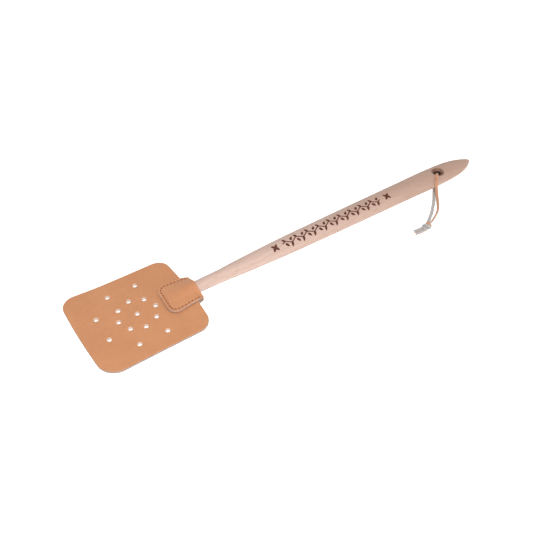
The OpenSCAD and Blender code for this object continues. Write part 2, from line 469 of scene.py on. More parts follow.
def ease(v: float, a: float, b: float) -> float:
    """The same, easing in and out."""
    s = share(v, a, b)
    return s * s * (3 - 2 * s)


def blend(a: float, b: float, s: float) -> float:
    """The value a share s of the way from a to b."""
    return a + (b - a) * s


def smooth_line(points: Sequence[Sequence[float]], steps: int) -> list[Vector]:
    """A smooth curve through points.

    Args:
        points: The points to pass through, of any dimension.
        steps: How many pieces each gap is cut into.

    Returns:
        The curve's points, the last one included.
    """
    line, last = [Vector(p) for p in points], len(points) - 1
    made = []
    for i in range(last):
        a, b, c, d = (line[min(max(k, 0), last)] for k in (i - 1, i, i + 1, i + 2))
        for step in range(steps):
            s = step / steps
            made.append(
                b + ((c - a) * s + (2 * a - 5 * b + 4 * c - d) * s**2 + (3 * b - a - 3 * c + d) * s**3) / 2
            )
    return made + [line[last]]


def dress(piece: Piece, material: Material, body: Body) -> None:
    """Gives a piece its material, body and slot."""
    piece.data.materials.clear()
    piece.data.materials.append(material)
    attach(piece, body.value)
    LOG.info("%s: %d faces on %s", piece.name, len(piece.data.polygons), body.value)


def joint_place(name: str) -> Vector:
    """The point on a joint's axis, in metres."""
    return Vector(next(j["pos_m"] for j in frame["joints"] if j["name"] == name))


# ---- Finishes ----


@dataclass(frozen=True)
class LeatherFinish:
    """Smooth vegetable-tanned leather with a raw cut edge and a suede underside.

    A mesh tells the faces apart by two numbers: cut, which is 1 on its edges and 2 in punched
    holes, and flesh, which is 1 on its lower side.

    Attributes:
        name: The material's name.
        grain: Colour of the smooth side.
        shade: Its darker clouds.
        edge: Colour of the cut edges.
        fresh: Colour of the punched holes' walls.
        flesh: Colour of the suede side.
        roughness: Roughness of the smooth side.
        level: Height of the sheets' middle, where the painted shade at the foot of a cut edge is measured
            from.
        painted_shade_foot: How far above or below it a cut edge gets painted shade standing in for a contact
            shadow, or 0 for none.
    """

    name: str
    grain: Triple = (0.460, 0.206, 0.091)
    shade: Triple = (0.395, 0.169, 0.074)
    edge: Triple = (0.35, 0.250, 0.210)
    fresh: Triple = (0.62, 0.45, 0.36)
    flesh: Triple = (0.42, 0.32, 0.27)
    roughness: float = 0.5
    level: float = 0.0
    painted_shade_foot: float = 0.0

    def paint(self) -> Material:
        """Makes the material."""
        paint = Paint(self.name, Specular_IOR_Level=0.35, Sheen_Weight=0.08, Sheen_Roughness=0.5)
        clouds = paint.noise(paint.place, 38, 4, 0.55)
        mottle = paint.noise(paint.place, 230, 4, 0.6)
        fibre = paint.noise(paint.stretched(900, 900, 2600), 1, 4, 0.7)
        pores = paint.cells(paint.place, 1500)
        fine = paint.noise(paint.place, 1900, 3, 0.6)
        wrinkles = paint.cells(paint.place, 620, "DISTANCE_TO_EDGE")
        blot = clouds.step(0.32, 0.72) * 0.5 + mottle.step(0.3, 0.75) * 0.32 + fine.step(0.35, 0.8) * 0.18
        colour = paint.mix(blot, self.shade, self.grain)
        specks = pores.step(0.16, 0.04) * mottle.step(0.45, 0.6)
        colour = paint.mix(specks * 0.35, colour, tuple(c * 0.55 for c in self.shade))
        cut, flesh = paint.attribute("cut"), paint.attribute("flesh")
        nap = paint.mix(fibre.step(0.3, 0.7), tuple(c * 0.78 for c in self.flesh), self.flesh)
        raw = paint.mix(fibre.step(0.35, 0.68), tuple(c * 0.62 for c in self.edge), self.edge)
        # Painted shade: cut-edge faces near the sheets' middle level are darkened towards the shade colour,
        # standing in for the contact shadow where a patch's edge meets the blade.
        height = abs(paint.axes()[2] - self.level)
        painted_shade_foot = height.step(self.painted_shade_foot, self.painted_shade_foot - 0.6 * MM) * 0.8
        raw = paint.mix(painted_shade_foot, raw, tuple(c * 0.4 for c in self.shade))
        colour = paint.mix(flesh, colour, nap)
        raw = paint.mix(cut.step(1, 2), raw, self.fresh)
        paint.feed("Base Color", paint.mix(cut, colour, raw))
        smooth_part = 1 - (flesh + cut).step(0, 1)
        rough = self.roughness + mottle * 0.14 - 0.07
        paint.feed("Roughness", rough * smooth_part + (1 - smooth_part) * 0.88)
        skin = wrinkles.step(0, 0.22) * 0.35 + pores.step(0, 0.5) * 0.25 + fine * 0.4
        paint.relief(skin * smooth_part + fibre * (1 - smooth_part), 0.00007)
        return paint.material


@dataclass(frozen=True)
class LaceFinish:
    """Leather lace, tan on its grain side and grey suede on its flesh side."""

    name: str = "lace_leather"
    grain: Triple = (0.50, 0.255, 0.145)
    dark: Triple = (0.36, 0.160, 0.085)
    flesh: Triple = (0.40, 0.385, 0.375)

    def paint(self) -> Material:
        """Makes the material, which reads the number flesh on the mesh."""
        paint = Paint(self.name, Specular_IOR_Level=0.35, Sheen_Weight=0.15, Sheen_Roughness=0.6)
        fibre = paint.noise(paint.place, 1500, 5, 0.7)
        mottle = paint.noise(paint.place, 260, 3, 0.6)
        flesh = paint.attribute("flesh")
        tan = paint.mix(mottle.step(0.25, 0.7), self.dark, self.grain)
        tan = paint.mix(flesh.step(0.2, 0.45), tan, tuple(c * 0.85 for c in self.grain))
        suede = paint.mix(fibre.step(0.3, 0.7), tuple(c * 0.66 for c in self.flesh), self.flesh)
        nap = flesh.step(0.5, 0.7)
        paint.feed("Base Color", paint.mix(nap, tan, suede))
        paint.feed("Roughness", nap * 0.38 + 0.52)
        paint.relief(fibre * (nap * 0.75 + 0.25), 0.00012)
        return paint.material


@dataclass(frozen=True)
class ThreadFinish:
    """Waxed dark brown thread."""

    name: str = "seam_thread"
    light: Triple = (0.27, 0.105, 0.052)
    dark: Triple = (0.12, 0.040, 0.020)

    def paint(self) -> Material:
        """Makes the material."""
        paint = Paint(self.name, Specular_IOR_Level=0.4)
        strands = paint.noise(paint.place, 4200, 3, 0.6)
        paint.feed("Base Color", paint.mix(strands.step(0.3, 0.7), self.dark, self.light))
        paint.feed("Roughness", strands * 0.25 + 0.42)
        paint.relief(strands, 0.00005)
        return paint.material


@dataclass(frozen=True)
class WoodFinish:
    """Fine light beech with its flecks, warmer towards the tip and burnt round the hole.

    Attributes:
        name: The material's name.
        neck_x: Where the wood is palest.
        flare_x: Where it is warmest.
        hole: The hanging hole's centre.
        pale: Colour at the neck.
        warm: Colour at the flare.
        streak: Colour of its grain lines.
        char: Colour inside the hole.
        scorch: Colour of the burnt ring round it.
        fleck: Colour of its short flecks.
        pore: Colour of its pores.
    """

    name: str
    neck_x: float
    flare_x: float
    hole: Pair
    pale: Triple = (0.475, 0.345, 0.292)
    warm: Triple = (0.380, 0.246, 0.188)
    streak: Triple = (0.365, 0.232, 0.174)
    char: Triple = (0.022, 0.008, 0.005)
    scorch: Triple = (0.135, 0.058, 0.032)
    fleck: Triple = (0.29, 0.155, 0.10)
    pore: Triple = (0.21, 0.105, 0.065)

    def paint(self) -> Material:
        """Makes the material."""
        paint = Paint(self.name, Specular_IOR_Level=0.4)
        x, y, _ = paint.axes()
        bands = paint.noise(paint.stretched(9, 170, 170), 1, 4, 0.6)
        fibres = paint.noise(paint.stretched(45, 1500, 1500), 1, 4, 0.65)
        flecks = paint.noise(paint.stretched(130, 1150, 1150), 1, 2, 0.4)
        pores = paint.noise(paint.stretched(260, 3600, 3600), 1, 2, 0.5)
        clouds = paint.noise(paint.place, 26, 3, 0.5)
        along = x.step(self.neck_x, self.flare_x)
        base = paint.mix(along * 0.85 + clouds * 0.3 - 0.1, self.pale, self.warm)
        lines = bands.step(0.42, 0.72) * 0.34 + fibres.step(0.45, 0.75) * 0.3
        colour = paint.mix(lines, base, self.streak)
        colour = paint.mix(flecks.step(0.6, 0.68) * 0.32, colour, self.fleck)
        colour = paint.mix(pores.step(0.66, 0.74) * 0.4, colour, self.pore)
        away_x, away_y = x - self.hole[0], y - self.hole[1]
        away = (away_x * away_x + away_y * away_y) ** 0.5 + (clouds - 0.5) * 0.0016
        burn = fibres.step(0.35, 0.7)
        ring = away.step(0.0074, 0.0056)
        colour = paint.mix(ring * (burn * 0.3 + 0.7), colour, self.scorch)
        paint.feed("Base Color", paint.mix(away.step(0.0043, 0.0032), colour, self.char))
        paint.feed("Roughness", fibres * 0.2 + 0.4 + ring * 0.25)
        paint.relief(fibres * 0.6 + pores.step(0.72, 0.6) * 0.4, 0.00006)
        return paint.material


@dataclass(frozen=True)
class BurntFinish:
    """Dark brown burnt wood of the ornament."""

    name: str = "burnt_wood"
    dark: Triple = (0.052, 0.014, 0.008)
    light: Triple = (0.125, 0.040, 0.022)

    def paint(self) -> Material:
        """Makes the material."""
        paint = Paint(self.name, Specular_IOR_Level=0.25)
        grain = paint.noise(paint.stretched(120, 1700, 1700), 1, 3, 0.6)
        paint.feed("Base Color", paint.mix(grain.step(0.3, 0.75), self.dark, self.light))
        paint.feed("Roughness", grain * 0.2 + 0.6)
        paint.relief(grain, 0.00005)
        return paint.material


@dataclass(frozen=True)
class FloorFinish:
    """A plain pale light table."""

    name: str = "table"
    dark: Triple = (0.90, 0.90, 0.90)
    light: Triple = (0.93, 0.93, 0.93)
    glow: float = 0.3

    def paint(self) -> Material:
        """Makes the material."""
        paint = Paint(self.name, Specular_IOR_Level=0.1, Roughness=0.95, Emission_Strength=self.glow)
        paint.shader.inputs["Emission Color"].default_value = (1, 1, 1, 1)
        grain = paint.noise(paint.place, 60, 2, 0.5)
        paint.feed("Base Color", paint.mix(grain, self.dark, self.light))
        return paint.material


# ---- Leather ----


@dataclass
class Slab:
    """A leather sheet with soft cut edges, lofted along X between two ends.

    Attributes:
        x1: Its front end.
        x2: Its rear end.
        half_w: Half its width.
        front_r: Radii of its front corners, on the right (-Y) and on the left.
        rear_r: The same of its rear corners.
        top: Height of its upper face at x and y.
        bottom: Height of its lower face at x and y.
        step: Size of its mesh's squares.
        edge_r: Radius of its long edges.
    """

    x1: float
    x2: float
    half_w: float
    front_r: Pair
    rear_r: Pair
    top: Callable[[float, float], float]
    bottom: Callable[[float, float], float]
    step: float
    edge_r: float

    def reach(self, x: float, side: int) -> float:
        """How far the sheet reaches at x, less where its corners are round.

        Args:
            x: The place along the sheet.
            side: 0 for the right edge and 1 for the left.

        Returns:
            The distance from the middle line.
        """
        front = max(0.0, self.front_r[side] - (x - self.x1))
        rear = max(0.0, self.rear_r[side] - (self.x2 - x))
        for lack, r in ((front, self.front_r[side]), (rear, self.rear_r[side])):
            if lack > 0:
                return self.half_w - r + math.sqrt(max(0.0, r * r - lack * lack))
        return self.half_w

    def round_off(self, away: float) -> float:
        """How far the face sinks at a distance from the edge."""
        lack = max(0.0, self.edge_r - away)
        return self.edge_r - math.sqrt(max(0.0, self.edge_r**2 - lack**2))

    def stations(self) -> list[float]:
        """Where the rings lie along X, close together at the edges and corners."""
        turns = [0.5 - 0.5 * math.cos(math.pi * i / 16) for i in range(1, 9)]
        near = [self.edge_r * s for s in (*EDGE_STEPS, 1)]
        places = {round(self.x1 + d, 7) for d in near} | {round(self.x2 - d, 7) for d in near}
        places |= {round(self.x1 + max(self.front_r) * 2 * s, 7) for s in turns}
        places |= {round(self.x2 - max(self.rear_r) * 2 * s, 7) for s in turns}
        count = round((self.x2 - self.x1) / self.step)
        places |= {round(blend(self.x1, self.x2, i / count), 7) for i in range(1, count)}
        kept: list[float] = []
        for x in sorted(places):
            if not kept or x - kept[-1] > 0.03 * MM:
                kept.append(x)
        return kept

    def ring(self, x: float) -> list[Vector]:
        """The closed section at x: over the top, then back below."""
        right, left = -self.reach(x, 0), self.reach(x, 1)
        rows = max(4, round(2 * self.half_w / self.step))
        near = [self.edge_r * s for s in EDGE_STEPS]
        ys = [right + d for d in near]
        ys += [blend(right + self.edge_r, left - self.edge_r, i / rows) for i in range(rows + 1)]
        ys += [left - d for d in reversed(near)]
        end = self.round_off(min(x - self.x1, self.x2 - x))
        sunk = [max(end, self.round_off(min(y - right, left - y))) for y in ys]
        above = [Vector((x, y, self.top(x, y) - s)) for y, s in zip(ys, sunk)]
        below = [Vector((x, y, self.bottom(x, y) + s)) for y, s in zip(ys, sunk)]
        return above + below[::-1]

    def build(self, name: str) -> Piece:
        """Lofts the sheet."""
        return loft(name, [self.ring(x) for x in self.stations()])


def mark_leather(mesh: Mesh, punched: Callable[[Vector], bool] = lambda p: False) -> None:
    """Tells a flat sheet's cut edges and its flesh side, which is below, apart from its grain side.

    Args:
        mesh: The sheet.
        punched: Whether a point of an edge is in a punched hole.
    """
    face_values(mesh, "cut", lambda p: float(abs(p.normal.z) < UPRIGHT) * (1 + punched(p.center)))
    face_values(mesh, "flesh", lambda p: float(p.normal.z < -UPRIGHT))


@dataclass
class Blade:
    """The perforated blade, one sheet that bends in front of the patches.

    Attributes:
        finish: Its leather.
        front_bow: How far its front edge bulges.
        rear_bow: How far its rear edge bulges.
        rear_w: Its width at the rear.
        front_r: Radii of its front corners, on the right and on the left.
        rear_r: The same of its rear corners.
        hole_r: Radius of an air hole.
        ring_r: Radius of the inner ring of air holes. The outer holes lie twice as far out.
        ring_x: Distance of the pattern's centre from the front edge.
        curl: How far the left front corner lifts.
        curl_from: How far from that corner the lift starts.
        curl_to: How far from it the lift is full.
        ripple: Height of its faint waves.
        skew: How far its front edge leans, as a share.
        bend_reach: Length over which it bends; not used.
        area: Its flat area in square metres, less the holes; not used.
        step: Size of its mesh's squares.
        edge_r: Radius of its edges.
        rim_r: Radius of the holes' rims.
        punch_l: Length of the punch.
    """

    finish: Material
    front_bow: float = 1.5 * MM
    rear_bow: float = 2.7 * MM
    rear_w: float = 94 * MM
    front_r: Pair = (16.5 * MM, 12.5 * MM)
    rear_r: Pair = (12.5 * MM, 10.5 * MM)
    hole_r: float = 2.25 * MM
    ring_r: float = 17.3 * MM
    ring_x: float = 53.4 * MM
    curl: float = 1.6 * MM
    curl_from: float = 46 * MM
    curl_to: float = 6 * MM
    ripple: float = 0.25 * MM
    skew: float = 0.012
    bend_reach: float = 42 * MM
    area: float = 0.0098
    step: float = 1.6 * MM
    edge_r: float = 0.35 * MM
    rim_r: float = 0.22 * MM
    punch_l: float = 20 * MM

    def __post_init__(self) -> None:
        """Reads the blade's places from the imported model."""
        low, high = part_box("blade_flap")
        self.x1, self.half_w = low.x, high.y
        self.x2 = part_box("blade_root")[1].x
        self.z1, self.z2 = low.z, high.z
        self.bend = joint_place("blade_flex")

    def warp(self, p: Vector) -> Vector:
        """Narrows the sheet to the rear, bows its ends and lifts a front corner."""
        along = share(p.x, self.x1 + self.front_bow, self.x2 - self.rear_bow)
        across = p.y / self.half_w
        bow = blend(-self.front_bow, self.rear_bow, along) * (1 - across * across)
        narrow = blend(1, self.rear_w / (2 * self.half_w), along)
        corner = math.hypot(p.x - self.x1, p.y - self.half_w)
        lift = self.curl * ease(corner, self.curl_from, self.curl_to)
        ripple = self.ripple * math.sin(p.x * 55 + 1.0) * math.sin(p.y * 42 + 0.6)
        turned = self.skew * p.y * (1 - along)
        return Vector((p.x + bow - turned, p.y * narrow, p.z + lift + ripple * (1 - along)))

    def perforated(self, sheet: Piece) -> Piece:
        """Punches the air holes: one in the middle, a ring of eight and six further out."""
        pattern = Pattern("air_holes")
        ring_r = pattern.input("Ring radius", "Float")
        hole_r = pattern.input("Hole radius", "Float")
        centre = pattern.input("Centre", "Vector")
        material = pattern.input("Leather", "Material")
        outer_r = pattern.node("ShaderNodeMath", {"operation": "MULTIPLY"}, {0: ring_r, 1: 2.0})
        reach = pattern.node("ShaderNodeMath", {"operation": "MULTIPLY"}, {0: ring_r, 1: 1.5})
        middle = pattern.node("GeometryNodePoints", {}, {"Count": 1})
        inner = pattern.node("GeometryNodeMeshCircle", {}, {"Vertices": 8, "Radius": ring_r})
        outer = pattern.node("GeometryNodeMeshCircle", {}, {"Vertices": 8, "Radius": outer_r})
        turned = pattern.node("GeometryNodeTransform", {}, {0: outer, "Rotation": (0, 0, math.pi / 8)})
        place = pattern.node("GeometryNodeInputPosition", {}, {})
        along = pattern.node("ShaderNodeSeparateXYZ", {}, {0: place})
        beyond = {"operation": "GREATER_THAN"}
        covered = pattern.node("FunctionNodeCompare", beyond, {0: along, 1: reach})
        open_part = pattern.node("GeometryNodeDeleteGeometry", {}, {0: turned, 1: covered})
        spots = pattern.node("GeometryNodeJoinGeometry", {}, {0: [middle, inner, open_part]})
        punch_sizes = {"Vertices": 28, "Radius": hole_r, "Depth": self.punch_l}
        punch = pattern.node("GeometryNodeMeshCylinder", {}, punch_sizes)
        punches = pattern.node("GeometryNodeInstanceOnPoints", {}, {"Points": spots, "Instance": punch})
        placed = pattern.node("GeometryNodeTransform", {}, {0: punches, "Translation": centre})
        tools = pattern.node("GeometryNodeRealizeInstances", {}, {0: placed})
        sheet_in = pattern.source.outputs["Geometry"]
        less = {"operation": "DIFFERENCE"}
        punched = pattern.node("GeometryNodeMeshBoolean", less, {0: sheet_in, 1: tools})
        pattern.finish(punched, material)
        spot = (self.x1 + self.ring_x, 0.0, (self.z1 + self.z2) / 2)
        return pattern.grown(
            sheet, "blade", Ring_radius=self.ring_r, Hole_radius=self.hole_r, Centre=spot, Leather=self.finish
        )

    def build(self) -> None:
        """Makes the blade."""
        slab = Slab(
            self.x1 + self.front_bow, self.x2 - self.rear_bow, self.half_w, self.front_r, self.rear_r,
            lambda x, y: self.z2, lambda x, y: self.z1, self.step, self.edge_r,
        )
        piece = self.perforated(slab.build("blade_blank"))
        self.soften_holes(piece.data)
        mark_leather(piece.data, self.in_hole)
        for vertex in piece.data.vertices:
            vertex.co = self.warp(vertex.co)
        smoothed(piece)
        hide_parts("blade_flap", "blade_root")
        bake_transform(piece)
        flat = (2 * self.half_w, self.x2 - self.x1)
        LOG.info("blade: %d faces across the bend", len(piece.data.polygons))

    def soften_holes(self, mesh: Mesh) -> None:
        """Rounds the rims that the punch leaves."""
        shell = bmesh.new()
        shell.from_mesh(mesh)
        bmesh.ops.remove_doubles(shell, verts=shell.verts, dist=1e-6)
        rims = [
            e
            for e in shell.edges
            if len(e.link_faces) == 2
            and abs(e.link_faces[0].normal.dot(e.link_faces[1].normal)) < 0.2
            and min(abs(f.normal.z) for f in e.link_faces) < 0.1
            and all(self.in_hole(v.co) for v in e.verts)
        ]
        bmesh.ops.bevel(
            shell, geom=rims, offset=self.rim_r, offset_type="OFFSET", segments=2, profile=0.5,
            affect="EDGES", clamp_overlap=True,
        )
        shell.to_mesh(mesh)
        shell.free()

    def in_hole(self, p: Vector) -> bool:
        """Whether a point is on an air hole's wall, and not on the blade's outline."""
        return math.hypot(p.x - self.x1 - self.ring_x, p.y) < 2 * self.ring_r + 2 * self.hole_r


@dataclass
class Seam:
    """The line of stitches round the patches' front and sides.

    Attributes:
        x: The patches' front edge.
        rear_x: The patches' rear edge.
        half_w: Half the patches' width.
        inset: Distance of the seam from the patches' edge.
        corner: Radius of the patches' front corners.
        stitch: Length of one stitch.
    """

    x: float
    rear_x: float
    half_w: float
    inset: float = 2.6 * MM
    corner: float = 8.5 * MM
    stitch: float = 3.5 * MM

    def __post_init__(self) -> None:
        """Works out the seam's lengths."""
        self.r = self.corner - self.inset
        self.front = self.half_w - self.corner
        self.arc = math.pi / 2 * self.r
        self.half_l = self.front + self.arc + self.rear_x - self.inset - self.x - self.corner
        self.count = round(2 * self.half_l / self.stitch)

    def point(self, s: float) -> Pair:
        """The point in plan s metres from the middle of the front edge."""
        d = abs(s)
        turn = math.pi / 2 * share(d, self.front, self.front + self.arc)
        x = self.x + self.corner - self.r * math.cos(turn) + max(0.0, d - self.front - self.arc)
        return x, math.copysign(min(d, self.front) + self.r * math.sin(turn), s)

    def holes(self) -> list[Pair]:
        """The stitch holes in order."""
        return [self.point(blend(-self.half_l, self.half_l, i / self.count)) for i in range(self.count + 1)]

    def distance(self, x: float, y: float) -> float:
        """Distance in plan from the seam's line."""
        past = x - self.x - self.corner
        if past > 0:
            return abs(abs(y) - self.half_w + self.inset)
        if abs(y) < self.front:
            return abs(past + self.r)
        return abs(math.hypot(past, abs(y) - self.front) - self.r)


@dataclass
class Patches:
    """The two patches, pressed over the handle's wedge and sewn through the blade.

    Attributes:
        leather: The patches' leather.
        thread: The seam's thread.
        blade_t: Thickness of the blade between them.
        patch_t: Their own thickness.
        rear_w: Their width at the rear.
        shift: How far they lie to the left.
        skew: How far their front edge leans, as a share.
        gap: Clearance round the wedge.
        rear_r: Radius of their rear corners.
        drop_l: Length over which they close behind the blade.
        tenon_t: Thickness of the wedge's front end.
        tenon_lead: How far behind their front edge it starts to lift them.
        shoulder_back: How far before their rear edge they reach their full height.
        bulge_half_w: How far to each side the wedge lifts them.
        groove: Depth and half width of the seam's groove.
        dimple: Depth and radius of the stitch holes.
        rim: How far their sides are pressed down, and over what width.
        step: Size of their mesh's squares.
        edge_r: Radius of their edges.
        thread_d: Diameter of the thread.
        dive: How deep a stitch's ends go.
        stitch_share: Half the length of the thread that shows, as a share of a stitch.
        sunk: How deep the stitches lie in the groove.
    """

    leather: Material
    thread: Material
    blade_t: float = 2.4 * MM
    patch_t: float = 2.4 * MM
    rear_w: float = 29.8 * MM
    shift: float = -1.0 * MM
    skew: float = 0.055
    gap: float = 0.1 * MM
    rear_r: float = 1.6 * MM
    drop_l: float = 3.8 * MM
    tenon_t: float = 4 * MM
    tenon_lead: float = 5 * MM
    shoulder_back: float = 0.5 * MM
    bulge_half_w: float = 14 * MM
    groove: Pair = (0.35 * MM, 1.0 * MM)
    dimple: Pair = (0.45 * MM, 0.6 * MM)
    rim: Pair = (0.15 * MM, 1.6 * MM)
    step: float = 0.62 * MM
    edge_r: float = 0.32 * MM
    thread_d: float = 0.9 * MM
    dive: float = 1.6 * MM
    stitch_share: float = 0.27
    sunk: float = 0.2 * MM

    def __post_init__(self) -> None:
        """Reads the patches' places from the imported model."""
        low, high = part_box("top_patch")
        self.x1, self.x2, self.half_w = low.x, high.x, high.y
        self.axis_z = joint_place("blade_flex").z
        self.crest = high.z - self.axis_z
        self.drop_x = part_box("blade_root")[1].x + 0.3 * MM
        self.seam = Seam(self.x1, self.x2, self.half_w)
        self.holes = self.seam.holes()

    def lay(self, x: float, y: float) -> Pair:
        """Narrows the patch to the rear and lays it a little to the right, as sewn by hand."""
        along = share(x, self.x1 + self.seam.corner, self.x2)
        narrow = blend(1, self.rear_w / (2 * self.half_w), along)
        return x + self.skew * y * (1 - share(x, self.x1, self.x2)), y * narrow + self.shift

    def inner(self, x: float, y: float) -> float:
        """Height of the inner face above the blade's middle, at a laid point."""
        flat = blend(self.blade_t / 2, self.gap / 2, share(x, self.drop_x, self.drop_x + self.drop_l))
        along = share(x, self.x1 + self.tenon_lead, self.x2 - self.shoulder_back)
        wedge = blend(self.tenon_t / 2 + self.gap, self.crest - self.patch_t, along)
        crest = blend(flat, wedge, share(x, self.x1 + MM, self.x1 + self.tenon_lead))
        arch = (1 + math.cos(math.pi * min(1.0, abs(y) / self.bulge_half_w))) / 2
        return blend(flat, crest, arch)

    def outer(self, x: float, y: float) -> float:
        """Height of the outer face before it is laid, with the seam's groove and holes."""
        groove = self.groove[0] * math.exp(-((self.seam.distance(x, y) / self.groove[1]) ** 2))
        away = min(math.hypot(x - hx, y - hy) for hx, hy in self.holes)
        dimple = self.dimple[0] * math.exp(-((away / self.dimple[1]) ** 2))
        rim = self.rim[0] * ease(self.half_w - abs(y), self.rim[1], 0)
        return self.inner(*self.lay(x, y)) + self.patch_t - groove - dimple - rim

    def build(self) -> None:
        """Makes both patches and both threads."""
        for node, side in (("top_patch", 1), ("bottom_patch", -1)):
            z = self.axis_z
            slab = Slab(
                self.x1, self.x2, self.half_w, (self.seam.corner,) * 2, (self.rear_r,) * 2,
                lambda x, y: z + self.outer(x, y), lambda x, y: z + self.inner(*self.lay(x, y)),
                self.step, self.edge_r,
            )
            piece = slab.build(node + "_leather")
            for vertex in piece.data.vertices:
                vertex.co = (*self.lay(vertex.co.x, vertex.co.y), vertex.co.z)
            mark_leather(piece.data)
            if side < 0:
                flip(piece.data, z)
            smoothed(piece, 50)
            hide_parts(node)
            dress(piece, self.leather, Body.HANDLE)
            flat = (2 * self.half_w, self.x2 - self.x1)
        for node, side in (("needle_thread", 1), ("bobbin_thread", -1)):
            piece = self.stitched(node + "_stitches")
            if side < 0:
                flip(piece.data, self.axis_z)
            smoothed(piece, 60)
            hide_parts(node)
            dress(piece, self.thread, Body.HANDLE)

    def one_stitch(self) -> Piece:
        """A short two-ply thread along X that dives at both ends."""
        steps, sides, half_l = 18, 12, self.seam.stitch * self.stitch_share
        line = []
        for i in range(steps + 1):
            s = 2 * i / steps - 1
            x = half_l * math.copysign(abs(s) ** 0.75, s)
            line.append(Vector((x, 0, self.sunk / 2 - self.dive * abs(s) ** 3.6)))
        rings = []
        across = Vector((0, 1, 0))
        for i, centre in enumerate(line):
            up = across.cross(tangent(line, i))
            ring = []
            for j in range(sides):
                turn = 2 * math.pi * j / sides
                r = self.thread_d / 2 * (1 + 0.14 * math.cos(2 * turn - 0.75 * i))
                ring.append(centre + across * (r * math.cos(turn)) + up * (r * math.sin(turn)))
            rings.append(ring)
        return loft("stitch", rings)

    def stitched(self, name: str) -> Piece:
        """Lays one stitch between every two holes of the upper patch."""
        places = []
        laid = [self.lay(*hole) for hole in self.holes]
        for (ax, ay), (bx, by) in zip(laid, laid[1:]):
            start, end = self.inner(ax, ay), self.inner(bx, by)
            z = self.axis_z + (start + end) / 2 + self.patch_t - self.sunk
            slope = -math.atan2(end - start, math.hypot(bx - ax, by - ay))
            heading = math.atan2(by - ay, bx - ax)
            places.append((((ax + bx) / 2, (ay + by) / 2, z), (0.0, slope, heading)))
        return scattered(name, self.one_stitch(), places, self.thread)


def flip(mesh: Mesh, z: float) -> None:
    """Mirrors a mesh in the level z and turns its faces outward again."""
    mesh.transform(Matrix.Translation((0, 0, 2 * z)) @ Matrix.Diagonal((1, 1, -1, 1)))
    mesh.flip_normals()


# ---- Handle ----


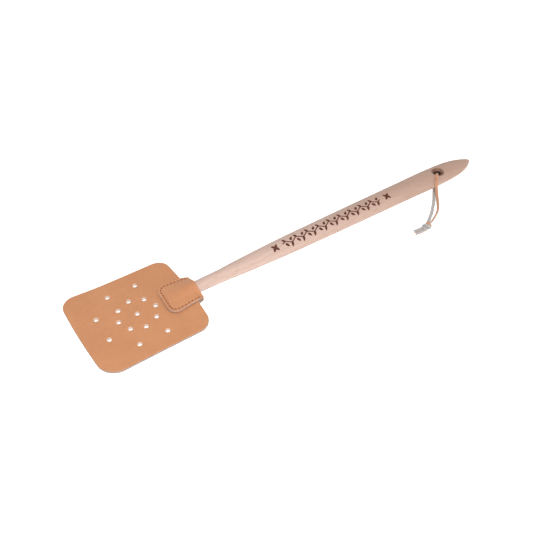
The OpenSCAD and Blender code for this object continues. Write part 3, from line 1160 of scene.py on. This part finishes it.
@dataclass
class Handle:
    """The carved handle with its wedge, hanging hole and burnt ornament.

    Attributes:
        wood: Its wood.
        burnt: The ornament's burnt wood.
        sides: How many sides its section has.
        hole_r: Radius of the hanging hole.
        sink_r: Radius of the hole's countersink.
        flare_half_t: Half the wood's thickness at the hole.
        kerf: Length, width and thickness of the saw's cut.
        sections: Distance from the blade's front edge, half width and half thickness, in millimetres.
    """

    wood: Material
    burnt: Material
    sides: int = 72
    hole_r: float = 3.25 * MM
    sink_r: float = 6 * MM
    flare_half_t: float = 5 * MM
    kerf: Triple = (60 * MM, 30 * MM, 2.6 * MM)
    sections: tuple[Triple, ...] = (
        (84, 5, 2), (98, 5.45, 3.55), (112, 5.9, 5.1), (121, 5.9, 5.8), (130, 6, 6), (142, 6.3, 6.2),
        (160, 7.6, 6.8), (185, 8.8, 7.2), (212, 9.9, 7.5), (245, 10.5, 7.6), (300, 11.2, 7.6),
        (340, 11.6, 7.4), (366, 12.2, 6.6), (386, 12.8, 5.6), (404, 12.6, 5), (418, 12, 4.5),
        (430, 10.3, 4), (438, 7.9, 3.5), (444, 5, 2.9), (448, 2.2, 2.2), (450, 0.4, 0.8),
    )

    def __post_init__(self) -> None:
        """Reads the handle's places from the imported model."""
        self.front_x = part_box("blade_flap")[0].x
        self.hole = joint_place("lace_swing")
        self.axis_z = self.hole.z
        self.line = smooth_line(self.sections, 6)

    def size(self, x: float) -> Pair:
        """Half the width and half the thickness at x, in metres."""
        along = (x - self.front_x) / MM
        for a, b in zip(self.line, self.line[1:]):
            if along <= b.x:
                s = share(along, a.x, b.x)
                return blend(a.y, b.y, s) * MM, blend(a.z, b.z, s) * MM
        return 0.4 * MM, 0.8 * MM

    def surface(self, x: float, y: float) -> float:
        """Height of the handle's upper face."""
        half_w, half_t = self.size(x)
        return self.axis_z + half_t * math.sqrt(max(0.0, 1 - (y / half_w) ** 2))

    def cutter(self) -> Piece:
        """The hanging hole's drill with a soft countersink at both ends."""
        reach = self.flare_half_t
        depth = self.sink_r - self.hole_r
        profile = [
            (self.hole_r, 0.0),
            (self.hole_r, reach - depth - 0.5 * MM),
            (self.hole_r + 0.25 * MM, reach - depth + 0.1 * MM),
            (self.sink_r - 0.3 * MM, reach - 0.25 * MM),
            (self.sink_r + 0.4 * MM, reach + 0.2 * MM),
            (self.sink_r + 3.5 * MM, reach + 1.6 * MM),
            (self.sink_r + 3.5 * MM, reach + 6 * MM),
        ]
        whole = [(r, -z) for r, z in profile[:0:-1]] + profile
        around = self.turns(64)
        rings = []
        for r, z in whole:
            rings.append([self.hole + Vector((r * math.cos(t), r * math.sin(t), z)) for t in around])
        return loft("hole_cutter", rings)

    def turns(self, count: int) -> list[float]:
        """Angles that part a circle evenly."""
        return [2 * math.pi * i / count for i in range(count)]

    def saw_cut(self) -> Piece:
        """The saw's cut that takes the blade."""
        shell = bmesh.new()
        bmesh.ops.create_cube(shell, size=1)
        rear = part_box("blade_root")[1].x + MM
        bmesh.ops.scale(shell, vec=self.kerf, verts=shell.verts)
        bmesh.ops.translate(shell, vec=(rear - self.kerf[0] / 2, 0, self.axis_z), verts=shell.verts)
        mesh = bpy.data.meshes.new("kerf")
        shell.to_mesh(mesh)
        shell.free()
        return linked("kerf", mesh)

    def build(self) -> None:
        """Makes the handle and its ornament."""
        rings = []
        around = self.turns(self.sides)
        for s in self.line:
            centre = Vector((self.front_x + s.x * MM, 0, self.axis_z))
            half_w, half_t = s.y * MM, s.z * MM
            rings.append([centre + Vector((0, half_w * math.cos(t), half_t * math.sin(t))) for t in around])
        piece = loft("handle_wood", rings)
        for tool in (self.cutter(), self.saw_cut()):
            cut = piece.modifiers.new("cut", "BOOLEAN")
            cut.operation = "DIFFERENCE"
            cut.solver = "EXACT"
            cut.object = tool
            graph = bpy.context.evaluated_depsgraph_get()
            mesh = bpy.data.meshes.new_from_object(piece.evaluated_get(graph))
            piece.modifiers.remove(cut)
            piece.data = mesh
            bpy.data.objects.remove(tool)
        smoothed(piece, 38)
        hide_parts("handle")
        dress(piece, self.wood, Body.HANDLE)
        ornament = Ornament(self).build()
        dress(ornament, self.burnt, Body.HANDLE)


@dataclass
class Ornament:
    """A burnt running vine along the handle's top, with a four-leaved end at each end.

    Attributes:
        handle: The handle that it lies on.
        first: Where the vine starts, from the blade's front edge.
        last: Where the vine ends.
        wave: Length of one wave of its stem.
        swing: How far the stem swings from the middle.
        leaf_l: Length of a leaf.
        stem_w: Width of the stem.
        leaf_w: Width of a leaf.
        shift: How far the vine lies to the right of the handle's top line.
        ends: Where the four-leaved ends lie.
        sunk: How deep the burnt layer reaches into the wood.
        proud: How far it stands out, so that it shows.
        split: Half the distance between a pair's two leaves.
        lean: How far the leaf that points forward leans, in radians.
        back_lean: The same of the leaf that points back.
    """

    handle: Handle
    first: float = 206 * MM
    last: float = 323 * MM
    wave: float = 13 * MM
    swing: float = 1.4 * MM
    stem_w: float = 1.1 * MM
    leaf_l: float = 4.6 * MM
    leaf_w: float = 2.5 * MM
    sunk: float = 0.25 * MM
    proud: float = 0.04 * MM
    shift: float = -3.0 * MM
    ends: Pair = (197.5 * MM, 332.5 * MM)
    split: float = 0.6 * MM
    lean: float = 0.85
    back_lean: float = 2.0

    def leaf(self) -> Piece:
        """A flat pointed leaf along X, starting at the origin."""
        rings = []
        steps, tip_half_w = 12, 0.08 * MM
        for i in range(steps + 1):
            s = i / steps
            half = self.leaf_w / 2 * math.sin(math.pi * s**0.75) ** 0.8 + tip_half_w
            top = [Vector((self.leaf_l * s, half * (1 - k / 2), 0)) for k in range(5)]
            rings.append(top + [p - Vector((0, 0, self.sunk)) for p in reversed(top)])
        return loft("leaf", rings)

    def stem(self) -> list[list[Vector]]:
        """Rings of the waving stem, flat on the bench."""
        rings = []
        count = round((self.last - self.first) / (0.8 * MM))
        for i in range(count + 1):
            x = blend(self.first, self.last, i / count)
            phase = 2 * math.pi * (x - self.first) / self.wave
            slope = self.swing * 2 * math.pi / self.wave * math.cos(phase)
            side = Vector((-slope, 1, 0)).normalized() * (self.stem_w / 2)
            centre = Vector((x, self.swing * math.sin(phase), 0))
            drop = Vector((0, 0, -self.sunk))
            top = [centre + side, centre, centre - side]
            rings.append(top + [p + drop for p in reversed(top)])
        return rings

    def build(self) -> Piece:
        """Lays the leaves by a pattern, joins the stem and wraps all onto the wood."""
        waves = round((self.last - self.first) / self.wave)
        places = []
        for i in range(2 * waves):
            side = 1 if i % 2 == 0 else -1
            x = self.first + self.wave * (i + 0.5) / 2
            places.append(((x - self.split, -side * self.swing * 0.4, 0), (0, 0, -side * self.lean)))
            places.append(((x + self.split, side * self.swing * 0.9, 0), (0, 0, side * self.back_lean)))
        for x in self.ends:
            places += [((x, 0, 0), (0, 0, math.pi / 4 + i * math.pi / 2)) for i in range(4)]
        piece = scattered("burnt_ornament", self.leaf(), places, self.handle.burnt)
        stem = loft("stem", self.stem())
        shell = bmesh.new()
        shell.from_mesh(piece.data)
        shell.from_mesh(stem.data)
        shell.to_mesh(piece.data)
        shell.free()
        bpy.data.objects.remove(stem)
        for vertex in piece.data.vertices:
            x, y, z = vertex.co
            x += self.handle.front_x
            y += self.shift
            vertex.co = (x, y, self.handle.surface(x, y) + self.proud + z)
        return piece


# ---- Lace ----


@dataclass
class Lace:
    """The flat lace: two strands from the hanging hole, a knot and two loose ends.

    Attributes:
        leather: The lace's leather.
        width: Its width.
        thickness: Its thickness.
        rolls: How far the upper and the lower strand roll over towards the knot, in radians.
        tail_level: Height of the loose ends above the table.
        tail_lift: How much higher they leave the knot.
        tail_spread: Half the distance between their starts.
        tail_bow: How far they bow to the side.
        tail_cut: How far their cut slants.
        upper: The upper strand's route in millimetres, from the hanging hole's centre to the knot.
        lower: The lower strand's route.
        core: The route of the strands inside the knot, along it and up, in millimetres.
    """

    leather: Material
    width: float = 3.1 * MM
    thickness: float = 1.6 * MM
    rolls: Pair = (1.15, -0.2)
    tail_level: float = 1.0 * MM
    tail_lift: float = 0.7 * MM
    tail_spread: float = 1.7 * MM
    tail_bow: float = 0.5 * MM
    tail_cut: float = 1.6 * MM
    upper: tuple[Triple, ...] = (
        (-1.5, -0.8, 0), (-1.6, -0.9, 1.6), (-2, -1.3, 3.1), (-2.9, -2.2, 4.6), (-4.2, -3.5, 5.6),
        (-5.7, -4.9, 6), (-7.2, -6.3, 5.9), (-8.8, -8.1, 5.5), (-10.5, -10, 4.9), (-12.3, -12.1, 4),
        (-14, -14.3, 2.7), (-15.7, -16.8, 1), (-17.4, -19.3, -0.8), (-19, -21.9, -2.5), (-21.1, -25.3, -4.1),
        (-24.1, -29.5, -5.1), (-27.8, -34.1, -5.6), (-32.1, -38.1, -5.75), (-36.6, -41.2, -5.8),
        (-41.8, -44, -5.8), (-46.8, -46.6, -5.4), (-51.4, -48.4, -4.8), (-54, -49.3, -4.7),
    )
    lower: tuple[Triple, ...] = (
        (1, 0.9, 0), (0.9, 0.8, -1.7), (0.3, 0.3, -3.6), (-0.8, -0.6, -5.2), (-2.3, -1.9, -6.2),
        (-4.1, -3.5, -6.6), (-6.1, -5.2, -6.6), (-11.7, -10.6, -6.6), (-17.5, -16.7, -6.6),
        (-23.4, -23, -6.6), (-28.1, -27.5, -6.6), (-34.2, -32.9, -6.6), (-40.1, -37.6, -6.6),
        (-46, -41.7, -6.6), (-51, -45.2, -6.5), (-54, -47.4, -6.4),
    )
    core: tuple[Pair, ...] = ((4.2, -1.2), (2, -0.3), (0, 0.1), (-2, -0.4), (-4.2, -1.4))

    def __post_init__(self) -> None:
        """Reads the lace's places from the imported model."""
        self.hole = joint_place("lace_swing")
        low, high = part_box("lace_knot")
        self.knot = (low + high) / 2

    def section(
        self, sides: int, wide: float, high: float, corners: Pair
    ) -> list[Pair]:
        """The lace's flat section with round corners.

        Args:
            sides: How many points it has.
            wide: Half its width.
            high: Half its height.
            corners: How square it is across and up, from 1 for an ellipse towards 0.

        Returns:
            Each point's place across and up.
        """
        points = []
        for j in range(sides):
            turn = 2 * math.pi * (j + 0.5) / sides
            c, s = math.cos(turn), math.sin(turn)
            across = wide * math.copysign(abs(c) ** corners[0], c)
            points.append((across, high * math.copysign(abs(s) ** corners[1], s)))
        return points

    def axes(self, line: Sequence[Vector], i: int, roll: float) -> tuple[Vector, Vector, Vector]:
        """The directions along the lace, across it and out of its face, at a point of its line."""
        along = tangent(line, i)
        side = Vector((-along.y, along.x, 0)).normalized()
        turned = Matrix.Rotation(roll, 3, along)
        return along, turned @ side, turned @ along.cross(side)

    def ribbon(
        self, name: str, line: Sequence[Vector], rolls: Sequence[float], flesh_up: bool, slant: float = 0.0
    ) -> Piece:
        """Sweeps the lace's flat section along a line.

        Args:
            name: The new piece's name.
            line: The middle line's points.
            rolls: How far the lace rolls over at each point, in radians.
            flesh_up: Whether its suede side is the upper one.
            slant: How far its last end is cut back on one side.

        Returns:
            The new piece, with the number flesh on its faces.
        """
        last = len(line) - 1
        frames = [self.axes(line, i, roll) for i, roll in enumerate(rolls)]
        rings = []
        for i, (centre, (along, side, up)) in enumerate(zip(line, frames)):
            wobble = 1 + 0.035 * math.sin(i * 0.9) * math.sin(i * 0.37 + 1)
            section = self.section(20, self.width / 2 * wobble, self.thickness / 2, (0.45, 0.55))
            cut = slant * ease(i, last - 6, last) / self.width
            rings.append([centre + side * a + up * h + along * (cut * a) for a, h in section])
        piece = loft(name, rings)
        sign = 0.5 if flesh_up else -0.5

        def fleshy(face: bpy.types.MeshPolygon) -> float:
            """How far a face looks to the suede side, from 0 to 1."""
            i = min(range(last + 1), key=lambda k: (line[k] - face.center).length_squared)
            return 0.5 + sign * face.normal.dot(frames[i][2])

        face_values(piece.data, "flesh", fleshy)
        return smoothed(piece, 48)

    def strand(
        self, name: str, route: Sequence[Sequence[float]], flesh_up: bool, roll: float
    ) -> tuple[Piece, list[Vector]]:
        """One strand and its line, which rolls over towards the knot."""
        line = [self.hole + p * MM for p in smooth_line(route, 4)]
        rolls = [roll * ease(i, len(line) * 0.3, len(line) * 0.7) for i in range(len(line))]
        return self.ribbon(name, line, rolls, flesh_up), line

    def wrap(self, name: str, place: Vector, reach: Vector, tilt: float, flesh_up: bool) -> Piece:
        """One turn of the lace round the knot, with its face towards the outside.

        Args:
            name: The new piece's name.
            place: The turn's middle, from the knot's, in millimetres.
            reach: How far it goes along the lace, across it and up, in millimetres.
            tilt: How far it leans along the lace, as a share.
            flesh_up: Whether its suede side shows.

        Returns:
            The new piece.
        """
        centre, steps = self.knot + place * MM, 40
        line = []
        for i in range(steps + 1):
            turn = 2 * math.pi * (i / steps - 0.02)
            y = reach.y * math.cos(turn)
            offset = Vector((reach.x * math.sin(turn / 2) + tilt * y, y, reach.z * math.sin(turn)))
            line.append(centre + offset * MM)
        section = self.section(16, self.width * 0.5, self.thickness * 0.46, (0.5, 0.6))
        rings = []
        for i, point in enumerate(line):
            along, out = tangent(line, i), point - centre
            out = (out - along * out.dot(along) - Vector((out.x * 0.9, 0, 0))).normalized()
            out = (out - along * out.dot(along)).normalized()
            side = out.cross(along)
            rings.append([point + side * a + out * h for a, h in section])
        piece = loft(name, rings)
        face_values(piece.data, "flesh", lambda p: 1.0 if flesh_up else 0.25)
        return smoothed(piece, 50)

    def tail(self, node: str, across: float, aside: float, roll: float) -> Piece:
        """A loose end, slightly bowed, with a slanting cut.

        Args:
            node: The CAD piece that it takes the place of.
            across: How far to the left of the knot's middle it starts.
            aside: How far to the left of the CAD piece's middle it ends.
            roll: How far it rolls over at the knot.

        Returns:
            The new piece.
        """
        low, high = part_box(node)
        start = Vector((high.x - 0.5 * MM, self.knot.y + across, self.tail_level + self.tail_lift))
        end = Vector((low.x + 0.4 * MM, (low.y + high.y) / 2 + aside, self.tail_level))
        side = Vector((start.y - end.y, end.x - start.x, 0)).normalized()
        steps = [i / 24 for i in range(25)]
        line = [start.lerp(end, s) + side * (self.tail_bow * math.sin(math.pi * s)) for s in steps]
        return self.ribbon(node + "_end", line, [roll * (1 - s) for s in steps], True, self.tail_cut)

    def knot_piece(self) -> Piece:
        """The overhand knot: the strands run through two leaning turns of the lace."""
        tan_turn = self.wrap("tan_turn", Vector((2.3, 0.2, 0)), Vector((-1.0, 3.3, 1.85)), 0.12, False)
        grey_turn = self.wrap("grey_turn", Vector((-1.5, -0.1, 0)), Vector((0.9, 3.2, 1.7)), -0.3, True)
        line = smooth_line([self.knot + Vector((x * MM, 0, z * MM)) for x, z in self.core], 4)
        core = self.ribbon("core", line, [0.0] * len(line), True)
        return join_parts("lace_overhand_knot", [tan_turn, grey_turn, core])

    def build(self) -> None:
        """Makes the lace's pieces and logs the lengths of its two strands."""
        upper, upper_line = self.strand("lace_upper_strand", self.upper, False, self.rolls[0])
        lower, lower_line = self.strand("lace_lower_strand", self.lower, True, self.rolls[1])
        knot = self.knot_piece()
        back = self.tail("lace_tail_back", self.tail_spread, 0.5 * MM, 0.1)
        front = self.tail("lace_tail_front", -self.tail_spread, 0.3 * MM, -0.12)
        pieces = {
            "lace_tail_back": back, "lace_tail_front": front,
            "lace_upper": upper, "lace_lower": lower, "lace_knot": knot,
        }
        for node, piece in pieces.items():
            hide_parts(node)
            dress(piece, self.leather, Body.LACE)
        for piece, line, carried in ((upper, upper_line, [knot, back, front]), (lower, lower_line, [])):
            length = sum((b - a).length for a, b in zip(line, line[1:]))
            LOG.info("%s: %.1f mm long", piece.name, length / MM)


def join_parts(name: str, parts: Sequence[Piece]) -> Piece:
    """Joins pieces into one and keeps the number flesh on their faces."""
    points, faces, values = [], [], []
    for part in parts:
        start = len(points)
        points += [tuple(v.co) for v in part.data.vertices]
        faces += [[start + i for i in p.vertices] for p in part.data.polygons]
        values += [v.value for v in part.data.attributes["flesh"].data]
        bpy.data.objects.remove(part)
    mesh = bpy.data.meshes.new(name)
    mesh.from_pydata(points, [], faces)
    layer = mesh.attributes.new("flesh", "FLOAT", "FACE")
    layer.data.foreach_set("value", values)
    return smoothed(linked(name, mesh), 50)


# ---- Studio ----


@dataclass
class Studio:
    """The camera, the soft lights and the pale table.

    Attributes:
        azimuth: The camera's turn round the swatter, in degrees.
        elevation: Its height over the table, in degrees.
        distance: Its distance from the target.
        target: Where it looks.
        lens: Its focal length in millimetres.
        roll: Its turn about its own axis, in degrees.
        key: How much further off than the camera the key light is, its size and its power.
        sky: Strength of the white surroundings.
        table_half_w: Half the table's width.
    """

    azimuth: float = -33.461
    elevation: float = 46.032
    distance: float = 714.9 * MM
    target: Triple = (-44.8 * MM, -14.2 * MM, 8.9 * MM)
    lens: float = 52.0
    roll: float = 0.17
    key: Triple = (1.9, 0.15, 19)
    sky: float = 0.45
    table_half_w: float = 6.0

    def camera(self) -> None:
        """Makes the camera."""
        a, e = math.radians(self.azimuth), math.radians(self.elevation)
        back = Vector((math.sin(a) * math.cos(e), -math.cos(a) * math.cos(e), math.sin(e)))
        data = bpy.data.cameras.new("camera")
        data.lens = self.lens
        data.sensor_width = 36.0
        data.clip_start = 0.01
        data.clip_end = 20.0
        camera = bpy.data.objects.new("camera", data)
        camera.location = Vector(self.target) + back * self.distance
        level = (-back).to_track_quat("-Z", "Y")
        camera.rotation_euler = (level @ Quaternion((0, 0, 1), math.radians(self.roll))).to_euler()
        bpy.context.scene.collection.objects.link(camera)
        bpy.context.scene.camera = camera

    def lamp(self, name: str, place: Triple, size: float, power: float) -> None:
        """Adds a square soft light that points at the swatter."""
        data = bpy.data.lights.new(name, "AREA")
        data.size = size
        data.energy = power
        lamp = bpy.data.objects.new(name, data)
        lamp.location = place
        aim = Vector((0.3 * place[0], 0, 0)) - Vector(place)
        lamp.rotation_euler = aim.to_track_quat("-Z", "Y").to_euler()
        bpy.context.scene.collection.objects.link(lamp)

    def build(self) -> None:
        """Makes the lights, the sky and the table."""
        eye = bpy.context.scene.camera.location
        blade = (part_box("blade_flap")[0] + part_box("blade_flap")[1]) / 2
        reach, size, power = self.key
        self.lamp("key_light", tuple(blade + (eye - blade) * reach), size, power)
        self.lamp("fill_light", (0.9, -0.9, 1.3), 1.2, 5)
        self.lamp("back_light", (-0.2, 1.4, 1.2), 1.4, 7)
        world = bpy.data.worlds.new("sky")
        world.use_nodes = True
        background = world.node_tree.nodes["Background"]
        background.inputs["Color"].default_value = (1, 1, 1, 1)
        background.inputs["Strength"].default_value = self.sky
        bpy.context.scene.world = world
        bpy.context.scene.view_settings.view_transform = "Standard"
        half = self.table_half_w
        corners = [(-half, -half, 0), (half, -half, 0), (half, half, 0), (-half, half, 0)]
        mesh = bpy.data.meshes.new("table")
        mesh.from_pydata(corners, [], [(0, 1, 2, 3)])
        table = linked("table", mesh)
        table.data.materials.append(FloorFinish().paint())


def clear_startup() -> None:
    """Removes the objects that a new file starts with."""
    kept = set(frame["nodes"].values()) | set(frame["bodies"].values())
    for thing in list(bpy.data.objects):
        if thing not in kept:
            bpy.data.objects.remove(thing)


def main() -> None:
    """Builds the studio and every piece in order."""
    logging.basicConfig(level=logging.INFO, format="%(name)s: %(message)s")
    clear_startup()
    studio = Studio()
    studio.camera()
    Lace(LaceFinish().paint()).build()
    studio.build()
    hole = joint_place("lace_swing")
    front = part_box("blade_flap")[0].x
    wood = WoodFinish(
        "handle_wood", neck_x=front + 140 * MM, flare_x=front + 430 * MM, hole=(hole.x, hole.y)
    )
    Blade(LeatherFinish("blade_leather").paint()).build()
    # The patch leather gets a band of painted shade at the foot of its cut edges, standing in for the contact
    # shadow on the blade.
    patch_leather = LeatherFinish(
        "patch_leather", grain=(0.475, 0.214, 0.099), edge=(0.50, 0.35, 0.30),
        level=joint_place("blade_flex").z, painted_shade_foot=2.5 * MM,
    )
    Patches(patch_leather.paint(), ThreadFinish().paint()).build()
    Handle(wood.paint(), BurntFinish().paint()).build()


if __name__ == "__main__":
    main()
